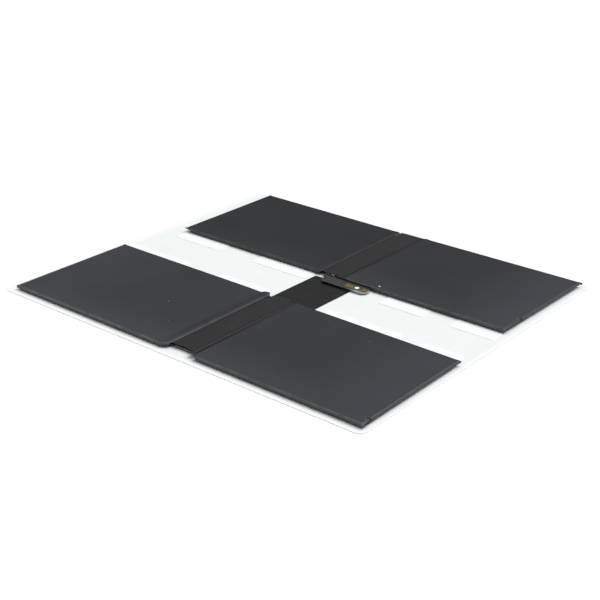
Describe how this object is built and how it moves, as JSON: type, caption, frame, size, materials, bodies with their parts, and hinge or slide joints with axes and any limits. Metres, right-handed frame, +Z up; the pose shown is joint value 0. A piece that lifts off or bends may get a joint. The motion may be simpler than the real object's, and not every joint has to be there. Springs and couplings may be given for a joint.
{
  "type": "tablet battery",
  "caption": "Flat battery pack of a large tablet: rows of pouch cells beside a taped circuit board, joined by a flexible circuit, with a screw-down contact tongue, on its release liner.",
  "frame": {"origin": "middle of the release liner's underside, which is the face that the pack lies on", "axes": "+X along the rows of cells towards the contact tongue's end, +Y across the bay to the rear row, +Z up out of the cells' flat tops"},
  "size_m": [0.2406, 0.2046, 0.0032],
  "materials": {
    "pouch_film": "satin black laminate",
    "tab_aluminium": "bare foil",
    "tab_nickel": "nickel plated",
    "board": "black solder mask",
    "foam": "matte closed-cell foam",
    "flex_film": "satin black cover film",
    "cover_tape": "matte black tape",
    "tin_plate": "tin plated",
    "contact_gold": "gold plated",
    "chip_epoxy": "moulded epoxy",
    "capacitor_body": "fired ceramic",
    "resistor_body": "coated ceramic",
    "adhesive": "white stretch adhesive",
    "liner_film": "translucent coated film"
  },
  "bodies": {
    "root": {"front_left_cell": "pouch_film", "front_right_cell": "pouch_film", "rear_left_cell": "pouch_film", "rear_right_cell": "pouch_film", "front_left_positive_tab": "tab_aluminium", "front_left_negative_tab": "tab_nickel", "front_right_positive_tab": "tab_aluminium", "front_right_negative_tab": "tab_nickel", "rear_left_positive_tab": "tab_aluminium", "rear_left_negative_tab": "tab_nickel", "rear_right_positive_tab": "tab_aluminium", "rear_right_negative_tab": "tab_nickel", "front_board": "board", "rear_board": "board", "front_foam_strip": "foam", "rear_foam_strip": "foam", "bridge_flex": "flex_film", "front_cover_tape": "cover_tape", "rear_cover_tape": "cover_tape", "screw_eyelet": "tin_plate", "positive_contact_pad": "contact_gold", "negative_contact_pad": "contact_gold", "gauge_chip": "chip_epoxy", "protection_chip": "chip_epoxy", "charge_mosfet": "chip_epoxy", "discharge_mosfet": "chip_epoxy", "sense_resistor": "resistor_body", "thermistor": "chip_epoxy", "input_capacitor": "capacitor_body", "filter_capacitor": "capacitor_body", "front_thermal_fuse": "chip_epoxy", "rear_thermal_fuse": "chip_epoxy", "front_left_outer_adhesive": "adhesive", "front_left_inner_adhesive": "adhesive", "front_right_outer_adhesive": "adhesive", "front_right_inner_adhesive": "adhesive", "rear_left_outer_adhesive": "adhesive", "rear_left_inner_adhesive": "adhesive", "rear_right_outer_adhesive": "adhesive", "rear_right_inner_adhesive": "adhesive", "release_liner": "liner_film"}
  },
  "joints": []
}
